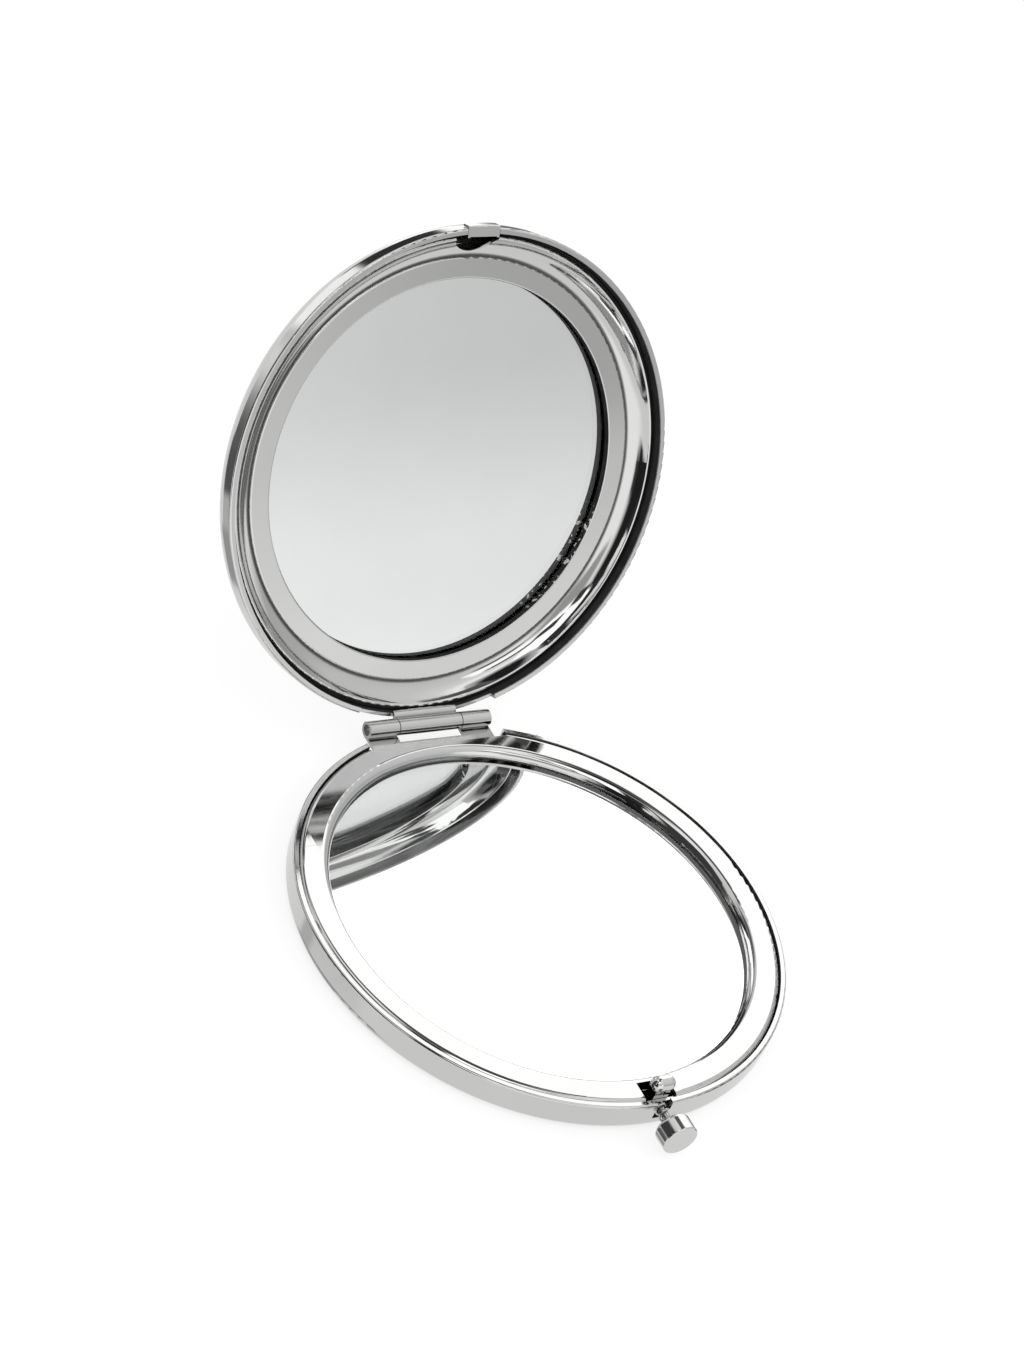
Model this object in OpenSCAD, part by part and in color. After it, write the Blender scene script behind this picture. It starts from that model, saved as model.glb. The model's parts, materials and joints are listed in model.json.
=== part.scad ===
// Round two-mirror compact of plated pressed steel, standing open on its base half.
// Origin: centre of the flat underside. +Z up, hinge toward +Y, push button toward -Y.

/* [Case] */
// Outer diameter of both halves
case_d = 66; // [62:0.5:76]
// Height of the base half, from its underside to its rim
base_h = 4.35; // [4.2:0.05:5.5]
// Height of the lid half at its edge, from its rim to its back
lid_h = 5.1; // [4.9:0.05:6.5]
// Thickness of the side walls
wall_t = 0.75; // [0.6:0.05:0.9]
// Thickness of the base half's floor
base_floor_t = 0.45; // [0.3:0.05:0.6]
// Thickness of the lid half's back
lid_floor_t = 0.4; // [0.3:0.05:0.5]
// Outer radius between the base's floor and wall
base_corner_r = 1.5; // [1:0.1:1.8]
// Inner radius between the base's floor and wall
base_inner_r = 0.6; // [0.3:0.05:0.8]
// Outer radius between the lid's back and wall
lid_corner_r = 3.35; // [2.5:0.05:3.8]
// Inner radius between the lid's back and wall
lid_inner_r = 2.4; // [2:0.05:2.6]
// Rise of the lid's crowned back from its edge to its middle
lid_crown = 0.5; // [0.3:0.05:1]
// Rounding of both rims
rim_r = 0.25; // [0.1:0.05:0.3]

/* [Opening] */
// Angle that the lid stands open
open_angle = 114; // [95:1:118]
// Gap between the two rims when closed
rim_gap = 0.1; // [0.05:0.05:0.3]
// Distance of the hinge axis outside the case wall
hinge_out = 0.6; // [0.5:0.05:0.8]
// Depth of the hinge axis below the base's rim
hinge_drop = 0.2; // [0:0.05:0.3]
// Room beside the hinge in the cuts of both walls
hinge_room_side = 1.25; // [0.5:0.05:2]
// Room under the barrel in the cut of the base's wall
hinge_room_under = 1.1; // [0.5:0.05:1.3]
// Room over the barrel in the cut of the lid's wall
hinge_room_over = 0.3; // [0.2:0.05:0.6]

/* [Base plate] */
// Sheet thickness of both inner plates
plate_t = 0.4; // [0.3:0.05:0.45]
// Gap between an inner plate and the wall round it
plate_clear = 0.1; // [0.05:0.05:0.2]
// Height of the base plate's skirt
base_skirt_h = 2.75; // [2.2:0.05:3]
// Rounding of the base plate's outer shoulder
base_shoulder_r = 0.7; // [0.5:0.05:0.8]
// Width of the base plate from its outer edge to its window
base_border_w = 4.15; // [4:0.05:5]
// Width of the rounded lip round that window
base_lip_w = 1.3; // [1.1:0.05:1.5]
// Drop of the rounded lip from the plate's face to the glass
base_lip_h = 1.05; // [0.8:0.05:1.1]
// Depth of the straight cut at the hinge into the plate's outer edge
base_chord_in = 2.3; // [2.1:0.05:2.4]

/* [Lid plate] */
// Height of the upright wall from the glass to the ledge
lid_well_h = 0.91; // [0.6:0.01:1]
// Width of the flat ledge with its two rounded edges
lid_ledge_w = 2.85; // [2.5:0.05:3]
// Rounding of the ledge's edge at the window
ledge_edge_r = 0.2; // [0.1:0.05:0.25]
// Drop of the groove between ledge and cove
groove_h = 0.29; // [0.2:0.01:0.32]
// Width of the hollow cove
cove_w = 2.6; // [2.4:0.05:2.7]
// Rise of the cove from the groove to the bead
cove_h = 1.8; // [1.5:0.05:1.9]
// Depth of the cove's hollow below a straight line
cove_sag = 0.3; // [0.15:0.05:0.4]
// Radius of the bead that ends the cove
bead_r = 0.3; // [0.25:0.05:0.35]
// Distance of the bead's middle from the plate's outer edge
bead_in = 0.7; // [0.6:0.05:0.9]
// Depth of the flat flange below the bead's top
flange_drop = 0.7; // [0.6:0.05:0.8]

/* [Mirrors] */
// Lap of the base plate over its mirror
base_glass_lap = 1; // [0.7:0.05:1.2]
// Thickness of the base mirror
base_glass_t = 1.05; // [0.9:0.05:1.2]
// Distance of the foam pad's edge inside the base mirror's
base_pad_in = 2; // [1:0.5:8]
// Lap of the lid plate over its mirror
lid_glass_lap = 0.85; // [0.6:0.05:1.2]
// Thickness of the lid mirror
lid_glass_t = 1; // [0.8:0.05:1.1]
// Radius of the adhesive disc as a share of the lid mirror's
lid_tape_share = 0.68; // [0.5:0.01:0.8]
// Least gap between the lid mirror and the crowned back
lid_glass_gap = 0.03; // [0.02:0.01:0.06]

/* [Hinge] */
// Diameter of the hinge pin
pin_d = 1.46; // [1.3:0.02:1.5]
// Radial play of the pin in the two outer knuckles
pin_fit = 0.02; // [0.01:0.01:0.04]
// Radial play of the pin in the centre knuckle
pin_play = 0.07; // [0.04:0.01:0.09]
// Sheet thickness of both hinge leaves
leaf_t = 0.4; // [0.3:0.05:0.4]
// Length of the whole barrel
hinge_w = 18.7; // [17:0.1:19]
// Length of the centre knuckle
knuckle_w = 9.56; // [8:0.02:10]
// Gap between neighbouring knuckles
knuckle_gap = 0.12; // [0.08:0.02:0.2]
// Depth of the pin's ends inside the barrel
pin_recess = 0.7; // [0.3:0.05:1]
// Distance that the base leaf reaches inside the wall
leaf_in = 2.75; // [2.4:0.05:2.8]
// Depth of the notch between the base leaf's arms inside the wall
leaf_notch_in = 0.65; // [0.5:0.05:1]
// Width of the base leaf's foot
leaf_foot_w = 10; // [6:0.5:11]
// Length of the base leaf's foot
leaf_foot_l = 1.5; // [1:0.1:1.6]
// Outer radius of the lid leaf's bend inside the wall
leaf_bend_r = 0.7; // [0.4:0.05:0.7]
// Width of the tab that runs on from that bend along the wall
leaf_tab_w = 2.8; // [2:0.2:3.6]
// Gap between the tab and the wall
leaf_tab_fit = 0.02; // [0.01:0.01:0.04]

/* [Button] */
// Diameter of the push button
knob_d = 4.7; // [4.2:0.1:5]
// Length of the push button
knob_l = 2.6; // [2.2:0.1:3.5]
// Distance of the push button's back from the case wall
knob_out = 2.2; // [2:0.1:2.8]
// Rounding of the push button's back edge
knob_back_r = 0.5; // [0.3:0.05:0.6]
// Rounding of the push button's front edge
knob_front_r = 0.2; // [0.1:0.05:0.4]
// Depth of the bore that takes the stem
knob_bore_l = 1.8; // [1.2:0.1:2]
// Depth of the button's axis below the base's rim
latch_drop = 1.35; // [1.3:0.05:1.45]
// Diameter of the stem
stem_d = 1; // [0.9:0.05:1.05]
// Radial gap between the stem and the pieces fixed to it
stem_fit = 0.02; // [0.01:0.01:0.04]
// Radial play of the stem in its guide
stem_play = 0.08; // [0.05:0.01:0.1]
// Diameter of the stem's peened end
peen_d = 1.8; // [1.6:0.05:2]
// Thickness of the stem's peened end
peen_t = 0.35; // [0.25:0.05:0.4]
// Mean diameter of the spring's coil
spring_d = 1.55; // [1.5:0.05:1.6]
// Diameter of the spring's wire
wire_d = 0.3; // [0.2:0.05:0.3]
// Number of turns in the spring
spring_turns = 3; // [2:1:3]
// Gap between the spring and what it bears on
spring_gap = 0.05; // [0.03:0.01:0.1]
// Width of the slot in the case wall round the spring
slot_w = 2.2; // [2.15:0.05:2.6]

/* [Latch] */
// Width of the hook's finger
hook_w = 2.2; // [1.8:0.1:2.6]
// Thickness of the hook's finger
hook_t = 0.8; // [0.7:0.05:0.9]
// Width of the hook's rounded head
head_w = 3.4; // [3:0.1:3.6]
// Radius of the hook's rounded head
head_r = 1.05; // [0.95:0.05:1.1]
// Distance of the head's middle from the finger's middle, toward the hinge
head_back = 0.3; // [0.25:0.05:0.4]
// Length of the hook's finger below the stem's axis
hook_tail = 1.1; // [0.9:0.05:1.2]
// Height of the head's middle above the base's rim
hook_rise = 1.5; // [1.45:0.05:1.6]
// Gap between the hook and its guide
hook_gap = 0.05; // [0.03:0.01:0.08]
// Width of the opening in the base plate round the hook
mouth_w = 4.6; // [4.4:0.1:5]
// Depth of that opening into the plate's outer edge
mouth_in = 2.95; // [2.8:0.05:3]
// Width of the guide bracket
guide_w = 4; // [3.4:0.1:4.2]
// Depth of the guide bracket's top below the base's rim
guide_drop = 0.45; // [0.4:0.05:0.5]
// Length of the guide bracket's foot
guide_foot_l = 2.3; // [1.5:0.1:2.6]
// Width of the lid's catch
catch_w = 4.7; // [4.6:0.1:5]
// Thickness of the catch's lip
catch_t = 0.5; // [0.4:0.05:0.55]
// Gap between the catch's lip and the hook's finger
catch_gap = 0.15; // [0.1:0.05:0.2]
// Thickness of the catch's two uprights
catch_leg_t = 0.35; // [0.25:0.05:0.4]
// Width of the gap between the catch's two uprights, which the hook enters
catch_gap_w = 4; // [3.8:0.05:4.1]
// Thickness of the catch's skirt outside the wall
catch_skirt_t = 0.3; // [0.2:0.05:0.35]
// Height of the catch's skirt outside the wall
catch_skirt_h = 1.3; // [1:0.1:2]
// Rounding of the catch's edge between lip and skirt
catch_edge_r = 0.2; // [0.1:0.05:0.25]
// Diameter of the round cut in the lid plate round the catch
moon_d = 7.3; // [7:0.1:8]
// Depth of that cut into the plate's outer edge
moon_in = 2.86; // [2.6:0.02:2.9]

/* [Hidden] */

// Overrun of every cut past the face that it opens, and the least room that parts of one body keep
overrun = 0.3;
seat_gap = 0.05;

// Facets of large rounds, of small rounds and of the crown's flat arc
large_fn = 180;
small_fn = 48;
crown_fn = 1800;
// Rings in each curl of the spring and sides of its wire
curl_rings = 8;
wire_sides = 6;

// Radii and heights that both halves share
case_r = case_d / 2;
inner_r = case_r - wall_t;
plate_r = inner_r - plate_clear;
hinge_y = case_r + hinge_out;
hinge_z = base_h - hinge_drop;
lid_z = base_h + rim_gap;

// Base plate: its window, the inner edge of its flat top, the radius of its lip and the depth of the glass
base_window_r = plate_r - base_border_w;
base_flat_r = base_window_r + base_lip_w;
base_glass_r = base_window_r + base_glass_lap;
base_lip_r = (base_lip_w * base_lip_w + base_lip_h * base_lip_h) / (2 * base_lip_h);
base_glass_top = base_h - base_lip_h;
base_glass_bottom = base_glass_top - base_glass_t;

// Crown of the lid: where it ends, its radius, and its rise at a given distance from the middle
crown_edge_r = case_r - lid_corner_r;
crown_r = (crown_edge_r * crown_edge_r + lid_crown * lid_crown) / (2 * lid_crown);
function crown_rise(r) = sqrt(crown_r * crown_r - r * r) - (crown_r - lid_crown);

// Radii of the lid plate, from its outer edge inward
cove_chord = norm([cove_w, cove_h]);
bead_center_r = plate_r - bead_in;
cove_end_r = bead_center_r - bead_r * cove_w / cove_chord;
groove_r = cove_end_r - cove_w;
window_r = groove_r - lid_ledge_w;
lid_glass_r = window_r + lid_glass_lap;
lid_tape_r = lid_glass_r * lid_tape_share;

// Depths of the lid's pieces, from its rim toward its back
lid_floor_d = lid_h - lid_floor_t;
lid_glass_back_d = lid_floor_d + crown_rise(lid_glass_r) - lid_glass_gap;
lid_glass_front_d = lid_glass_back_d - lid_glass_t;
lid_tape_t = lid_floor_d + crown_rise(lid_tape_r) - lid_glass_back_d;
ledge_d = lid_glass_front_d - lid_well_h;
groove_d = ledge_d + groove_h;
bead_center_d = groove_d - cove_h + bead_r * cove_h / cove_chord;
flange_d = bead_center_d - bead_r + flange_drop;
// Depth to which the inside of the lid's wall is straight
lid_wall_d = lid_floor_d - lid_inner_r;

// Cove: an arc from the groove to the bead, hollow toward the opening
cove_r = cove_chord * cove_chord / (8 * cove_sag) + cove_sag / 2;
cove_mid = [groove_r + cove_w / 2, groove_d - cove_h / 2];
cove_center = cove_mid - (cove_r - cove_sag) * [cove_h, cove_w] / cove_chord;

// Hinge, and the straight cuts of both plates beside it
knuckle_r = pin_d / 2 + pin_fit + leaf_t;
outer_knuckle_w = (hinge_w - knuckle_w) / 2 - knuckle_gap;
hinge_d = hinge_z - lid_z;
hinge_cut_w = hinge_w + 2 * hinge_room_side;
base_chord_y = plate_r - base_chord_in;
leaf_y = inner_r - leaf_in;
leaf_notch_y = inner_r - leaf_notch_in;
lid_leaf_y = sqrt(inner_r * inner_r - leaf_tab_w * leaf_tab_w / 4) - leaf_tab_fit - leaf_t;
lid_strip_d = hinge_d + knuckle_r - leaf_t;
lid_cut_d = hinge_d + knuckle_r + hinge_room_over;
lid_bend_d = lid_cut_d - seat_gap;

// Latch, measured along -Y from the middle of the case
latch_z = base_h - latch_drop;
stem_r = stem_d / 2;
knob_back = case_r + knob_out;
mouth_y = plate_r - mouth_in;
moon_y = plate_r - moon_in;
guide_front = plate_r;
guide_back = guide_front - plate_t;
hook_front = guide_back - hook_gap;
hook_back = hook_front - hook_t;
hook_mid = hook_front - hook_t / 2;
hook_foot_z = latch_z - hook_tail;
head_z = base_h + hook_rise;
head_under_z = head_z - head_r / 2;
lip_back = hook_front + catch_gap;
catch_r = case_r + seat_gap + catch_skirt_t;

// Spring: a tube wound round the stem, between guide and button
spring_start = guide_front + spring_gap + wire_d / 2;
spring_end = knob_back - spring_gap - wire_d / 2;
spring_rings = curl_rings * spring_turns;
function spring_at(i) =
    let (turn = i / curl_rings)
    [spring_d / 2 * cos(360 * turn), spring_d / 2 * sin(360 * turn),
     spring_start + (spring_end - spring_start) * i / spring_rings];
function spring_ring(i) =
    let (turn = 360 * i / curl_rings,
         out = [cos(turn), sin(turn), 0],
         pitch = (spring_end - spring_start) / spring_turns,
         ahead = [-sin(turn) * PI * spring_d, cos(turn) * PI * spring_d, pitch],
         up = cross(out, ahead) / norm(ahead))
    [for (side = [0 : wire_sides - 1])
        let (round = 360 * side / wire_sides)
        spring_at(i) + wire_d / 2 * (cos(round) * out + sin(round) * up)];
half_curl = curl_rings / 2;
spring_self_gap = min([for (i = [0 : spring_rings - half_curl]) for (j = [i + half_curl : spring_rings])
    norm(spring_at(i) - spring_at(j))]) - wire_d;
echo(spring_least_gap_to_itself = spring_self_gap);

// What is cut off a square corner at [0, 0] to round it, for material on its right and above it
module corner_waste(r) {
    difference() {
        translate([-overrun, -overrun]) square(r + overrun);
        translate([r, r]) circle(r, $fn = small_fn);
    }
}

// A block of [w, h] whose corners are rounded by the radii given, each in its own place
module block(size, bottom_left = 0, bottom_right = 0, top_left = 0, top_right = 0) {
    difference() {
        square(size);
        if (bottom_left > 0) corner_waste(bottom_left);
        if (bottom_right > 0) translate([size[0], 0]) mirror([1, 0]) corner_waste(bottom_right);
        if (top_left > 0) translate([0, size[1]]) mirror([0, 1]) corner_waste(top_left);
        if (top_right > 0) translate(size) mirror([1, 0]) mirror([0, 1]) corner_waste(top_right);
    }
}

// An L of bent sheet that starts at [0, 0], with its outer bend there: one leg to the right, one up
module bent_sheet(right_l, up_l, sheet_t, bend_r) {
    difference() {
        block([right_l, up_l], bottom_left = bend_r);
        translate([sheet_t, sheet_t])
            block([right_l, up_l], bottom_left = max(bend_r - sheet_t, 0));
    }
}

// Half a section through a round pan that stands on its floor
module pan_section(height, floor_t, corner_r, corner_in_r) {
    difference() {
        block([case_r, height], bottom_right = corner_r, top_right = rim_r);
        translate([0, floor_t])
            block([inner_r, height], bottom_right = corner_in_r);
    }
}

// A section drawn in Y and Z, drawn out along X to the width given
module across(width) {
    rotate([90, 0, 90])
        linear_extrude(width, center = true)
            children();
}

// Round pieces of the latch: their axis is the button's, and Z of the child is the distance toward -Y
module on_latch_axis() {
    translate([0, 0, latch_z])
        rotate([90, 0, 0])
            children();
}

// Puts a piece drawn on the closed lid, with Z measured from the lid's rim, where the open lid stands
module on_lid() {
    translate([0, hinge_y, hinge_z])
        rotate([-open_angle, 0, 0])
            translate([0, -hinge_y, lid_z - hinge_z])
                children();
}

// Cuts the opening for the hinge out of a wall, from one height to another, with radial sides
module hinge_cut(from_z, to_z) {
    reach = case_r + overrun;
    spread = reach * hinge_cut_w / 2 / sqrt(case_r * case_r - hinge_cut_w * hinge_cut_w / 4);
    translate([0, 0, from_z])
        linear_extrude(to_z - from_z)
            polygon([[0, 0], [spread, reach], [-spread, reach]]);
}

module base_shell() {
    color("gainsboro")
    difference() {
        rotate_extrude($fn = large_fn)
            pan_section(base_h, base_floor_t, base_corner_r, base_inner_r);
        hinge_cut(hinge_z - knuckle_r - hinge_room_under, base_h + overrun);
        translate([-slot_w / 2, -case_r - overrun, latch_z - slot_w / 2])
            cube([slot_w, wall_t + 2 * overrun, base_h]);
    }
}

// Flat top, shoulder and skirt of the base plate, and the quarter-round lip round its window
module base_frame_section() {
    difference() {
        translate([base_flat_r, base_h - base_skirt_h])
            block([plate_r - base_flat_r, base_skirt_h], top_right = base_shoulder_r);
        translate([base_flat_r - overrun, base_h - base_skirt_h - overrun])
            block([plate_r - plate_t - base_flat_r + overrun, base_skirt_h - plate_t + overrun],
                  top_right = base_shoulder_r - plate_t);
    }
    intersection() {
        translate([base_flat_r, base_h - base_lip_r])
            difference() {
                circle(base_lip_r, $fn = large_fn);
                circle(base_lip_r - plate_t, $fn = large_fn);
            }
        translate([base_window_r, base_glass_top])
            square([base_lip_w, base_lip_h]);
    }
}

module base_frame() {
    color("whitesmoke")
    difference() {
        rotate_extrude($fn = large_fn)
            base_frame_section();
        // Straight edge at the hinge
        translate([-hinge_cut_w / 2, base_chord_y, base_h - base_skirt_h - overrun])
            cube([hinge_cut_w, case_r - base_chord_y, base_skirt_h + 2 * overrun]);
        // Room for the hinge leaf under the flat top
        translate([-hinge_cut_w / 2, leaf_y - plate_clear, base_h - base_skirt_h - overrun])
            cube([hinge_cut_w, case_r - leaf_y, base_skirt_h + overrun - plate_t]);
        // Mouth round the hook
        translate([-mouth_w / 2, -case_r, base_h - base_skirt_h - overrun])
            cube([mouth_w, case_r - mouth_y, base_skirt_h + 2 * overrun]);
    }
}

module base_mirror() {
    color("white")
    translate([0, 0, base_glass_bottom])
        cylinder(h = base_glass_t, r = base_glass_r, $fn = large_fn);
}

module base_mirror_pad() {
    color("dimgray")
    translate([0, 0, base_floor_t])
        cylinder(h = base_glass_bottom - base_floor_t, r = base_glass_r - base_pad_in, $fn = large_fn);
}

// Knuckle with the strip that runs from its underside toward the middle of the case
module knuckle_section(bore_d, strip_end_y) {
    difference() {
        union() {
            translate([hinge_y, hinge_z])
                circle(knuckle_r, $fn = small_fn);
            translate([strip_end_y, hinge_z - knuckle_r])
                square([hinge_y - strip_end_y, leaf_t]);
        }
        translate([hinge_y, hinge_z])
            circle(d = bore_d, $fn = small_fn);
    }
}

module base_hinge_leaf() {
    color("silver") {
        for (side = [-1, 1])
            translate([side * (hinge_w - outer_knuckle_w) / 2, 0, 0])
                across(outer_knuckle_w)
                    knuckle_section(pin_d + 2 * pin_fit, leaf_y);
        across(hinge_w)
            translate([leaf_y, hinge_z - knuckle_r])
                square([leaf_notch_y - leaf_y, leaf_t]);
        across(leaf_foot_w)
            translate([leaf_y, base_floor_t])
                bent_sheet(leaf_foot_l, hinge_z - knuckle_r - base_floor_t + leaf_t, leaf_t, leaf_t);
    }
}

module hinge_pin() {
    color("darkgray")
    translate([0, hinge_y, hinge_z])
        rotate([0, 90, 0])
            cylinder(h = hinge_w - 2 * pin_recess, d = pin_d, center = true, $fn = small_fn);
}

// Drawn as on the closed lid: the strip leaves the top of the knuckle and bends up inside the wall
module lid_hinge_leaf() {
    color("silver")
    on_lid() {
        across(knuckle_w)
            difference() {
                union() {
                    translate([hinge_y, hinge_d])
                        circle(knuckle_r, $fn = small_fn);
                    translate([lid_leaf_y, lid_strip_d])
                        bent_sheet(hinge_y - lid_leaf_y, lid_bend_d - lid_strip_d, leaf_t, leaf_bend_r);
                }
                translate([hinge_y, hinge_d])
                    circle(d = pin_d + 2 * pin_play, $fn = small_fn);
            }
        across(leaf_tab_w)
            translate([lid_leaf_y, lid_bend_d])
                square([leaf_t, lid_wall_d - lid_bend_d]);
    }
}

// The lid's pan has the crown added to its back, inside and out
module lid_section() {
    difference() {
        union() {
            block([case_r, lid_h], top_right = lid_corner_r, bottom_right = rim_r);
            crown_section(lid_h);
        }
        translate([0, -overrun])
            block([inner_r, lid_floor_d + overrun], top_right = lid_inner_r);
        crown_section(lid_floor_d);
    }
}

// The part of the crown's arc above a flat, and as far below it as the wall is thick
module crown_section(flat_d) {
    intersection() {
        translate([0, flat_d + lid_crown - crown_r])
            circle(crown_r, $fn = crown_fn);
        translate([0, flat_d - lid_floor_t])
            square([crown_edge_r, lid_floor_t + lid_crown]);
    }
}

module lid_shell() {
    color("gainsboro")
    on_lid()
        difference() {
            rotate_extrude($fn = large_fn)
                lid_section();
            hinge_cut(-overrun, lid_cut_d);
            // Notch that the catch's lip lies in
            translate([-catch_w / 2 - seat_gap, -case_r - overrun, -overrun])
                cube([catch_w + 2 * seat_gap, wall_t + plate_clear + overrun, overrun + catch_t + seat_gap]);
        }
}

// Upright round the window, ledge, groove, cove, bead and flange, seen side toward the rim
module lid_frame_section() {
    translate([window_r, ledge_d])
        difference() {
            block([lid_ledge_w, lid_well_h], bottom_left = ledge_edge_r, bottom_right = groove_h);
            translate([plate_t, plate_t])
                square([lid_ledge_w, lid_well_h]);
        }
    // Cove: a band between two arcs, which starts under the ledge and ends in the bead
    intersection() {
        translate(cove_center)
            difference() {
                circle(cove_r + plate_t, $fn = large_fn);
                circle(cove_r, $fn = large_fn);
            }
        polygon([
            cove_center,
            [groove_r - groove_h, groove_d + cove_h],
            [groove_r + cove_w, groove_d + cove_h],
            [bead_center_r, bead_center_d]
        ]);
    }
    translate([bead_center_r, bead_center_d])
        circle(bead_r, $fn = small_fn);
    translate([bead_center_r - bead_r, bead_center_d])
        square([2 * bead_r, flange_d + plate_t - bead_center_d]);
    translate([bead_center_r - bead_r, flange_d])
        square([plate_r - bead_center_r + bead_r, plate_t]);
}

module lid_frame() {
    color("lightgray")
    on_lid()
        difference() {
            rotate_extrude($fn = large_fn)
                lid_frame_section();
            // Notch for the tab of the hinge leaf
            translate([-leaf_tab_w / 2 - seat_gap, lid_leaf_y - leaf_tab_fit, flange_d - overrun])
                cube([leaf_tab_w + 2 * seat_gap, case_r - lid_leaf_y, plate_t + 2 * overrun]);
            // Round cut at the catch
            translate([0, -moon_y - moon_d / 2, 0])
                cylinder(h = lid_h, d = moon_d, $fn = large_fn);
        }
}

module lid_mirror() {
    color("lightblue")
    on_lid()
        translate([0, 0, lid_glass_front_d])
            cylinder(h = lid_glass_t, r = lid_glass_r, $fn = large_fn);
}

module lid_mirror_tape() {
    color("dimgray")
    on_lid()
        translate([0, 0, lid_glass_back_d])
            cylinder(h = lid_tape_t, r = lid_tape_r, $fn = large_fn);
}

// Curved like the wall that it clasps: a lip in the rim's notch, a skirt outside, two uprights inside
module lid_catch() {
    color("whitesmoke")
    on_lid()
        intersection() {
            difference() {
                rotate_extrude($fn = large_fn)
                    catch_section();
                translate([-catch_gap_w / 2, -inner_r, catch_t])
                    cube([catch_gap_w, inner_r, lid_wall_d]);
                // The lip stops short of the hook's finger
                translate([-catch_gap_w / 2, -lip_back, -overrun])
                    cube([catch_gap_w, case_r, catch_t + 2 * overrun]);
            }
            translate([-catch_w / 2, -catch_r - overrun, 0])
                cube([catch_w, case_r - window_r, lid_wall_d]);
        }
}

module catch_section() {
    translate([lip_back, 0])
        block([catch_r - lip_back, catch_t], bottom_right = catch_edge_r);
    translate([case_r + seat_gap, catch_t])
        square([catch_skirt_t, catch_skirt_h - catch_t]);
    translate([plate_r - catch_leg_t, 0])
        square([catch_leg_t, lid_wall_d]);
}

module latch_knob() {
    color("silver")
    on_latch_axis()
        translate([0, 0, knob_back])
            rotate_extrude($fn = small_fn)
                difference() {
                    block([knob_d / 2, knob_l], bottom_right = knob_back_r, top_right = knob_front_r);
                    translate([0, -overrun])
                        square([stem_r + stem_fit, knob_bore_l + overrun]);
                }
}

// Rod from the bottom of the button's bore through guide and hook, peened over behind the hook
module latch_stem() {
    color("darkgray")
    on_latch_axis()
        rotate_extrude($fn = small_fn) {
            translate([0, hook_back])
                square([stem_r, knob_back + knob_bore_l - seat_gap - hook_back]);
            translate([0, hook_back - peen_t])
                block([peen_d / 2, peen_t], bottom_right = peen_t / 2);
        }
}

module latch_spring() {
    color("silver")
    on_latch_axis()
        polyhedron(
            points = [for (i = [0 : spring_rings]) each spring_ring(i)],
            faces = concat(
                [for (side = [1 : wire_sides - 2]) [0, side, side + 1]],
                [for (i = [0 : spring_rings - 1]) for (side = [0 : wire_sides - 1]) each
                    let (near = i * wire_sides, far = near + wire_sides, next = (side + 1) % wire_sides)
                    [[near + side, far + side, near + next], [near + next, far + side, far + next]]],
                [for (side = [1 : wire_sides - 2])
                    let (last = spring_rings * wire_sides)
                    [last, last + side + 1, last + side]]
            )
        );
}

// Bracket bent from one strip: a foot on the floor and an upright that the stem passes through
module latch_guide() {
    color("silver")
    difference() {
        across(guide_w)
            translate([-guide_front, base_floor_t])
                bent_sheet(guide_foot_l, base_h - guide_drop - base_floor_t, plate_t, base_inner_r);
        on_latch_axis()
            translate([0, 0, guide_back - overrun])
                cylinder(h = plate_t + 2 * overrun, r = stem_r + stem_play, $fn = small_fn);
    }
}

// A finger with a wide round head, whose flat underside toward the button holds the catch
module latch_hook() {
    color("whitesmoke")
    difference() {
        union() {
            translate([-hook_w / 2, -hook_front, hook_foot_z])
                cube([hook_w, hook_t, head_z - hook_foot_z]);
            translate([-head_w / 2, head_back - hook_mid, head_z])
                rotate([0, 90, 0])
                    rotate_extrude($fn = small_fn)
                        block([head_r, head_w], bottom_right = head_r, top_right = head_r);
        }
        translate([-head_w / 2, -hook_front - head_r, head_under_z - head_r])
            cube([head_w, head_r, head_r]);
        on_latch_axis()
            translate([0, 0, hook_back - overrun])
                cylinder(h = hook_t + 2 * overrun, r = stem_r + stem_fit, $fn = small_fn);
    }
}

base_shell();
base_frame();
base_mirror();
base_mirror_pad();
base_hinge_leaf();
hinge_pin();
lid_hinge_leaf();
lid_shell();
lid_frame();
lid_mirror();
lid_mirror_tape();
lid_catch();
latch_knob();
latch_stem();
latch_spring();
latch_guide();
latch_hook();
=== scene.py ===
import json
import math

import bmesh
import bpy
from mathutils import Matrix, Vector


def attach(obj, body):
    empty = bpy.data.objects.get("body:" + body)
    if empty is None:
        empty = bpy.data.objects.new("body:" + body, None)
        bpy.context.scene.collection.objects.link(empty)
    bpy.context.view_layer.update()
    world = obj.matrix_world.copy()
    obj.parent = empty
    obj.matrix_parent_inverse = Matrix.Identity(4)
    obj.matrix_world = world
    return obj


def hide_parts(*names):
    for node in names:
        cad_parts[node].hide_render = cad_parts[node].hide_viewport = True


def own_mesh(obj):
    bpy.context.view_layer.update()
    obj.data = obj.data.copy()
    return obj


# Round two-mirror compact of plated pressed steel, in metres, in the frame of the CAD model

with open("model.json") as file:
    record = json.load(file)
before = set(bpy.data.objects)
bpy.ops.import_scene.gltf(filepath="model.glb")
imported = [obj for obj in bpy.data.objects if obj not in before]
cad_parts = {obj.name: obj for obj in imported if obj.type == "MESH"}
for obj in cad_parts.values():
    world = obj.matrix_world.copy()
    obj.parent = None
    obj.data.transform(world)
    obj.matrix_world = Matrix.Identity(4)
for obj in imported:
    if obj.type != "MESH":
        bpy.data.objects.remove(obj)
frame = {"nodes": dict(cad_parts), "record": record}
bpy.context.view_layer.update()

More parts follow.
